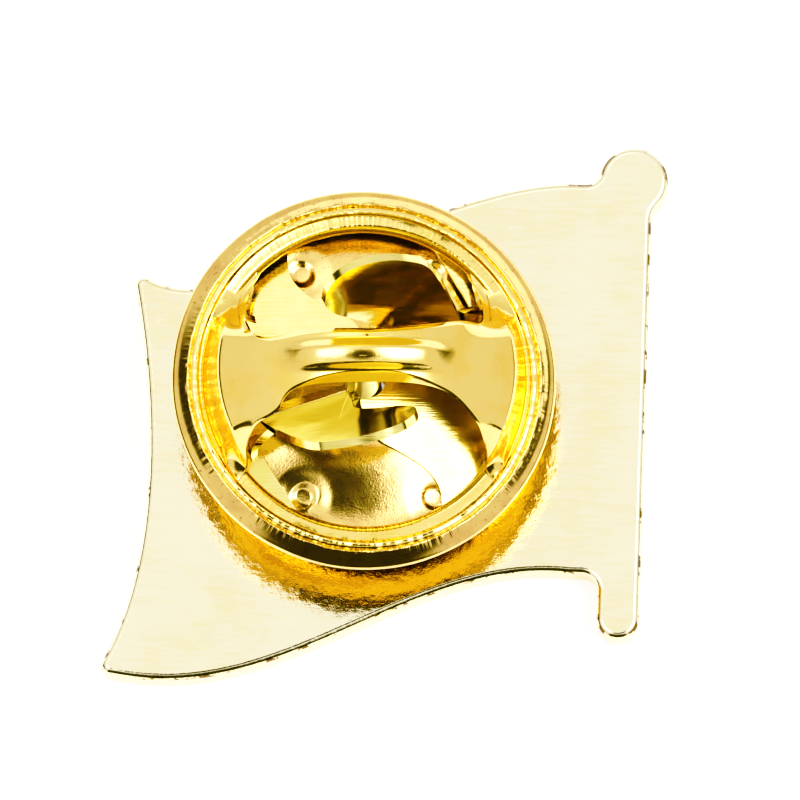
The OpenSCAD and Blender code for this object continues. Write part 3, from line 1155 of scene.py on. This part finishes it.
@dataclass
class SpringClip:
    """The stamped spring: two wings of a leaf, each with an ear folded up from it."""

    sheet: float = 0.25
    leaf_bottom: float = -0.59
    rim: float = 4.9
    hole: float = 0.62
    hinge_y: float = 0.29
    hinge_turn: float = 17.8
    hinge_height: float = -0.25
    hinge_end: float = 3.3
    fold: float = 65.8
    bend_radius: float = 0.3
    dish: float = 0.12
    dish_start: Point = (0.3, 2.2)
    wing: tuple = ((0.17, 0.68), (0.0, 1.2), (-0.35, 1.80), (-0.90, 2.13), (-1.45, 2.45), (-1.83, 2.72),
                   (-2.12, 3.05), (-2.28, 3.42), (-2.30, 3.9), (-2.28, 4.32))
    wing_shift: tuple = (0.06, 0.1, 0.0)
    wing_steps: int = 6
    wing_round: float = 0.04
    wing_strips: int = 2
    wing_crease: float = 60.0
    wing_rise: float = 0.16
    wing_slope: Point = (0.06, -0.11)
    cell: float = 0.15
    tail: tuple = ((1.72, 4.60), (2.15, 3.94), (2.98, 2.61), (3.20, 2.20))
    root: tuple = ((3.42, 1.95), (3.42, 1.5))
    root_steps: int = 8
    notch: Point = (40.0, -100.0)
    notch_steps: int = 16
    rim_steps: int = 40
    ear_edge: tuple = ((0.40, -0.35), (0.40, 0.0), (0.50, 1.2), (0.55, 2.24), (0.27, 2.75),
                       (-0.13, 3.16), (-0.63, 3.70), (-0.90, 4.29), (-0.87, 4.65), (-0.72, 5.12),
                       (-0.36, 5.56), (0.10, 5.78), (0.75, 5.79), (1.43, 5.56), (2.10, 5.07),
                       (2.44, 4.62), (2.66, 3.96), (2.86, 3.12), (3.01, 2.31), (3.13, 1.69),
                       (3.22, 0.9), (3.30, 0.0), (3.30, -0.35))
    ear_middle: Point = (1.35, 3.0)
    ear_round: float = 0.06
    ear_strips: int = 3
    web_foot: tuple = ((3.20, 2.20), (3.50, 2.0), (3.50, 1.55), (3.14, 1.30))
    web_head: tuple = (2.77, 1.90, 1.29)
    web_bulge: tuple = (0.176, 0.099, 0.077)
    web_round: float = 0.05
    web_steps: int = 16
    ear_steps: int = 5
    ear_rings: int = 34

    @property
    def leaf_top(self) -> float:
        """The height of the wings' upper face."""
        return self.leaf_bottom + self.sheet

    def hinge(self) -> Matrix:
        """Returns what carries the upper ear to its hinge."""
        turn = Matrix.Rotation(math.radians(self.hinge_turn), 4, "Z")
        return Matrix.Translation((0, self.hinge_y, 0)) @ turn

    def wing_outline(self) -> list[Point]:
        """Returns the outline of the wing that carries the upper ear."""
        mirrored = [(-x, -y) for x, y in through(self.wing, self.wing_steps)]
        start, end = (math.degrees(math.atan2(y, x)) for x, y in (mirrored[-1], self.tail[0]))
        hinge_end = (self.hinge() @ Vector((self.hinge_end, 0.0, 0.0))).xy
        rim = arc((0, 0), self.rim, start, end, self.rim_steps)
        root = bezier((self.tail[-1], *self.root, hinge_end), self.root_steps)[1:]
        notch = arc((0, 0), self.hole, *self.notch, self.notch_steps)
        return [*mirrored, *rim, *self.tail, *root, *notch]

    def leaf(self, turn: Matrix) -> Piece:
        """Builds one wing, rounded at its edges, cut into small faces and bent a little."""
        wing = Bench.slab("wing", self.wing_outline(), self.leaf_bottom, self.leaf_top)
        Bench.soften(wing, self.wing_round, self.wing_strips, self.wing_crease)
        Bench.bisect(wing, self.cell)

        def bend(p: Vector) -> Vector:
            """Lets the wing fall from its root towards the rim."""
            p.z += self.wing_rise - self.wing_slope[0] * p.x - self.wing_slope[1] * min(p.y, 0.0)
            return p

        Bench.reshape(wing, bend)
        Bench.place(wing, Matrix.Translation(self.wing_shift) @ turn)
        return wing

    def ear(self, turn: Matrix) -> Piece:
        """Builds one ear: a flat disc drawn out to its outline, dished, then folded up at its hinge."""
        edge = through(self.ear_edge[::-1], self.ear_steps, closed=True)
        turns = len(edge)
        edge.append(edge[0])
        cx, cy = self.ear_middle
        fold = math.radians(self.fold)
        radius = self.bend_radius
        start = -radius * math.tan(fold / 2) + (self.hinge_height - self.leaf_top) / math.tan(fold)

        def raise_up(u: float, v: float) -> Vector:
            """Carries a point of the disc, by its turn and its share of the way in, to the folded ear."""
            u, rho = 1.0 - u, 1.0 - v
            i = min(int(u * turns), turns - 1)
            t = u * turns - i
            a, b = edge[i], edge[i + 1]
            s = cx + rho * (a[0] + (b[0] - a[0]) * t - cx)
            d = cy + rho * (a[1] + (b[1] - a[1]) * t - cy)
            hollow = -self.dish * (1.0 - rho ** 2) * smooth_step(*self.dish_start, d)
            run = d - start
            if run <= 0.0:
                y, z, ny, nz = d, 0.0, 0.0, 1.0
            elif run <= radius * fold:
                a = run / radius
                y, z = start + radius * math.sin(a), radius * (1.0 - math.cos(a))
                ny, nz = -math.sin(a), math.cos(a)
            else:
                rest = run - radius * fold
                y = start + radius * math.sin(fold) + rest * math.cos(fold)
                z = radius * (1.0 - math.cos(fold)) + rest * math.sin(fold)
                ny, nz = -math.sin(fold), math.cos(fold)
            return Vector((s, y + hollow * ny, self.leaf_top + z + hollow * nz))

        ear = Bench.sheet("ear", turns, self.ear_rings, raise_up)
        Bench.thicken(ear, self.sheet, self.ear_round, self.ear_strips)
        Bench.place(ear, turn @ self.hinge())
        return ear

    def web(self, turn: Matrix) -> Piece:
        """Builds the web that carries the leaf over into the ear's outer edge."""
        low = [Vector((x, y, self.leaf_top)) for x, y in bezier(self.web_foot, self.web_steps)]
        high = [Vector(self.web_head).lerp(low[-1], i / self.web_steps) for i in range(self.web_steps + 1)]

        def rule(u: float, v: float) -> Vector:
            """Carries a point of the web, by its shares along the leaf's edge and up to the ear's."""
            i = min(int(u * self.web_steps + 0.5), self.web_steps)
            return low[i].lerp(high[i], v) + Vector(self.web_bulge) * (math.sin(math.pi * v) * (1.0 - u))

        web = Bench.sheet("web", self.web_steps, self.web_steps, rule)
        Bench.thicken(web, self.sheet, self.web_round)
        Bench.place(web, turn)
        return web

    def build(self) -> Piece:
        """Builds both halves."""
        turns = [Matrix.Rotation(math.radians(half.value), 4, "Z") for half in Half]
        parts = [make(turn) for turn in turns for make in (self.leaf, self.ear, self.web)]
        clip = Bench.join(parts, "spring_ears")
        Bench.finish(clip, "WEIGHTED_NORMAL", keep_sharp=True)
        return clip


@dataclass(frozen=True)
class Panel:
    """A round patch of the tent: where it lies, by its lean right and back from overhead, and its light."""

    right: float
    back: float
    radius: float
    softness: float
    light: float

    def glow(self, paint: Paint, way: Wire) -> Wire:
        """Returns the patch's light over the directions."""
        a, b = math.radians(self.right), math.radians(self.back)
        centre = Vector((math.tan(a), math.tan(b), 1.0)).normalized()
        product = {"operation": "DOT_PRODUCT"}
        facing = paint.node("ShaderNodeVectorMath", product, way, tuple(centre), out="Value")
        edge = math.cos(math.radians(self.radius + self.softness))
        inner = math.cos(math.radians(max(self.radius - self.softness, 0.1)))
        return paint.between(facing, edge, inner, 0.0, self.light)


@dataclass
class Studio:
    """The camera, the pale floor and the soft light round the pin."""

    azimuth: float = 10.62
    elevation: float = 78.79
    roll: float = -8.88
    distance: float = 0.44
    lens: float = 657.0
    sensor: float = 36.0
    shift_right: float = 1.09 * MM
    shift_down: float = 0.60 * MM
    clip: Point = (0.01, 10.0)
    white: tuple = (1.0, 1.0, 1.0)
    floor_half: float = 0.6
    floor_drop: float = 0.01 * MM
    floor_colour: tuple = (0.94, 0.94, 0.94)
    floor_roughness: float = 0.6
    floor_glow: float = 0.55
    corner_gap: float = 0.5
    corner_start: Point = (0.10, 0.20)
    corner_front: Point = (0.0, -0.3)
    skirt_edge: Point = (0.20, 0.32)
    skirt_lean: float = 0.11
    front_edge: Point = (-0.62, -0.42)
    back_edge: Point = (0.25, 0.6)
    top_start: Point = (0.45, 0.95)
    dark_light: float = 0.05
    side_light: float = 0.92
    top_light: float = 0.26
    back_light: float = 0.85
    max_bounces: int = 16
    glossy_bounces: int = 3
    tone_white: float = 1.4
    tone: tuple = ((0.0, 0.0), (0.04, 0.024), (0.15, 0.14), (0.4, 0.40), (0.7, 0.69), (0.9, 0.835),
                   (1.05, 0.905), (1.2, 0.96), (1.4, 1.0))
    blue_tone: tuple = ((0.0, 0.0), (0.05, 0.012), (0.10, 0.07), (0.2, 0.20), (1.0, 1.0))
    panels: tuple = (Panel(-19.0, -5.0, 10.0, 4.0, 4.5), Panel(28.0, -3.0, 14.0, 6.0, 6.5),
                     Panel(-12.0, 26.0, 9.0, 5.0, 1.1))
    opening: Panel = Panel(3.0, -12.0, 11.0, 4.0, 0.97)

    def camera(self) -> None:
        """Sets the camera at the photo's angle, level with its roll."""
        a, e = math.radians(self.azimuth), math.radians(self.elevation)
        back = Vector((math.sin(a) * math.cos(e), -math.cos(a) * math.cos(e), math.sin(e)))
        level = Vector((math.cos(a), math.sin(a), 0.0))
        over = back.cross(level)
        roll = math.radians(self.roll)
        right = level * math.cos(roll) + over * math.sin(roll)
        up = back.cross(right)
        rim = SEAT.matrix() @ Vector((0, 0, 0))
        eye = rim + back * self.distance + right * self.shift_right - up * self.shift_down
        data = bpy.data.cameras.new("camera")
        data.sensor_width = self.sensor
        data.lens = self.lens
        data.clip_start, data.clip_end = self.clip
        camera = bpy.data.objects.new("camera", data)
        bpy.context.scene.collection.objects.link(camera)
        camera.matrix_world = Matrix.Translation(eye) @ Matrix((right, up, back)).transposed().to_4x4()
        bpy.context.scene.camera = camera

    def floor(self) -> None:
        """Lays the pale floor that the pin lies on."""
        floor = Bench.fresh("floor", bpy.ops.mesh.primitive_plane_add, size=2 * self.floor_half,
                            location=(0, 0, -self.floor_drop))
        made = bpy.data.materials.new("floor_white")
        made.use_nodes = True
        paint = Paint(made.node_tree)
        shader = paint.node("ShaderNodeBsdfPrincipled", {}, Base_Color=self.floor_colour,
                            Roughness=self.floor_roughness, Emission_Color=self.white,
                            Emission_Strength=self.floor_glow)
        paint.node("ShaderNodeOutputMaterial", {}, shader)
        dress(floor, made)

    def surroundings(self) -> None:
        """Makes the white tent round the table, with bright panels, the camera's opening and a dark skirt."""
        world = bpy.data.worlds.new("tent")
        bpy.context.scene.world = world
        world.use_nodes = True
        paint = Paint(world.node_tree)
        way = paint.node("ShaderNodeTexCoord", {}, out="Generated")
        x, y, z = paint.split(way)
        gap = paint.between(x * x * (y * y), *self.corner_start) * paint.between(y, *self.corner_front)
        skirt = paint.between(z + self.skirt_lean * x + self.corner_gap * gap, *self.skirt_edge)
        back = paint.between(y, *self.back_edge)
        front = paint.between(y + x * x, *self.front_edge)
        above = paint.between(z, *self.top_start)
        light = (self.dark_light + (self.side_light + self.top_light * above) * skirt * front
                 + self.back_light * back * (1.0 - skirt))
        for panel in self.panels:
            light = light + panel.glow(paint, way)
        light = light * (1.0 - self.opening.glow(paint, way))
        seen = paint.node("ShaderNodeLightPath", {}, out="Is Camera Ray")
        glow = paint.node("ShaderNodeBackground", {}, Color=self.white, Strength=light * (1.0 - seen) + seen)
        paint.node("ShaderNodeOutputWorld", {}, glow)

    def develop(self) -> None:
        """Sets the picture's tones: a soft shoulder in each colour, as on film."""
        view = bpy.context.scene.view_settings
        view.view_transform = "Standard"
        view.use_curve_mapping = True
        mapping = view.curve_mapping
        mapping.white_level = (self.tone_white,) * 3
        tone = [(x / self.tone_white, y) for x, y in self.tone]
        for curve, marks in ((mapping.curves[3], tone), (mapping.curves[2], self.blue_tone)):
            for place in marks[1:-1]:
                curve.points.new(*place)
            for point, place in zip(curve.points, marks):
                point.location = place
                point.handle_type = "AUTO_CLAMPED"
        mapping.update()

    def build(self) -> None:
        """Sets up everything that isn't the pin."""
        self.camera()
        self.floor()
        self.surroundings()
        self.develop()
        cycles = bpy.context.scene.cycles
        cycles.max_bounces, cycles.glossy_bounces = self.max_bounces, self.glossy_bounces


def main() -> None:
    """Builds the studio and the pin, and reports each piece."""
    Studio().build()
    works = (
        (FlagPlate(), SEAT.plate(), PlateGold(), Body.FLAG, "flag_gold", "flag"),
        (Post(), SEAT.plate(), PostMetal(), Body.FLAG, "flag_gold", "flag"),
        (ClutchBase(), SEAT.matrix(), RimGold(), Body.CLUTCH, "clutch_gold", "clutch_base"),
        (ClutchCap(), SEAT.matrix(), CapGold(), Body.CLUTCH, "clutch_gold", "clutch_cap"),
        (SpringClip(), SEAT.matrix(), SpringGold(), Body.CLUTCH, "spring_gold", "spring_clip"),
    )
    for work, seat, finish, body, slot, node in works:
        piece = work.build()
        Bench.place(piece, seat)
        dress(piece, finish.material())
        settle(piece, body, slot, node)


if __name__ == "__main__":
    logging.basicConfig(level=logging.INFO)
    main()
